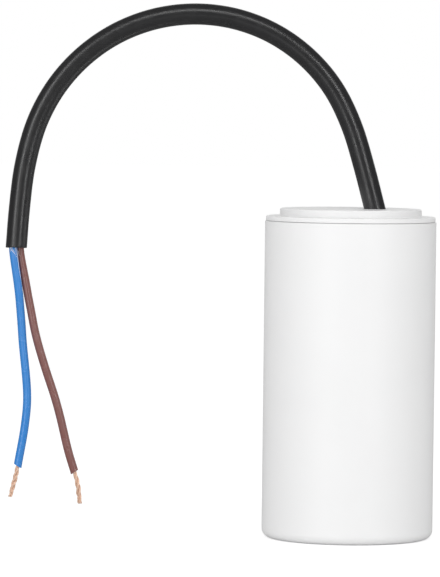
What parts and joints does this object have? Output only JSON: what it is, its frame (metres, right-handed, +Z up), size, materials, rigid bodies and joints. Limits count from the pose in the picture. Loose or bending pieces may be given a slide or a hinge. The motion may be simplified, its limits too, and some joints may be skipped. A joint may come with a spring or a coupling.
{
  "type": "motor run capacitor",
  "caption": "Cylindrical white plastic can with a stepped cap and a black two-core cable arching from an off-centre hole in its top; a run capacitor for a single-phase motor.",
  "frame": {"origin": "centre of the can's flat base", "axes": "+Z up the can's axis towards the cap; +X towards the cable's hole, so that the cable arches over towards -X; the cable lies close to the XZ plane"},
  "size_m": [0.1254, 0.05, 0.1556],
  "materials": {
    "case_plastic": "satin white moulded plastic",
    "cap_plastic": "satin white moulded plastic",
    "resin": "cast polyurethane or epoxy resin",
    "metallised_film": "wound metallised polypropylene film",
    "plain_film": "clear polypropylene film wrap",
    "tube_plastic": "plain plastic tube",
    "sprayed_zinc": "rough sprayed zinc",
    "solder": "solder",
    "bare_copper": "bare twisted copper strands",
    "black_sheath": "satin black soft PVC",
    "blue_insulation": "satin blue PVC insulation",
    "brown_insulation": "satin brown PVC insulation"
  },
  "bodies": {
    "root": {"case": "case_plastic", "cap": "cap_plastic", "potting_resin": "resin", "film_roll": "metallised_film", "roll_wrap": "plain_film", "roll_tube": "tube_plastic", "end_spray_top": "sprayed_zinc", "end_spray_bottom": "sprayed_zinc", "solder_top": "solder", "solder_bottom": "solder", "lead_top": "blue_insulation", "lead_bottom": "brown_insulation", "lead_wire_top": "bare_copper", "lead_wire_bottom": "bare_copper", "cable_sheath": "black_sheath", "core_blue": "blue_insulation", "core_brown": "brown_insulation", "strands_blue": "bare_copper", "strands_brown": "bare_copper"}
  },
  "joints": []
}
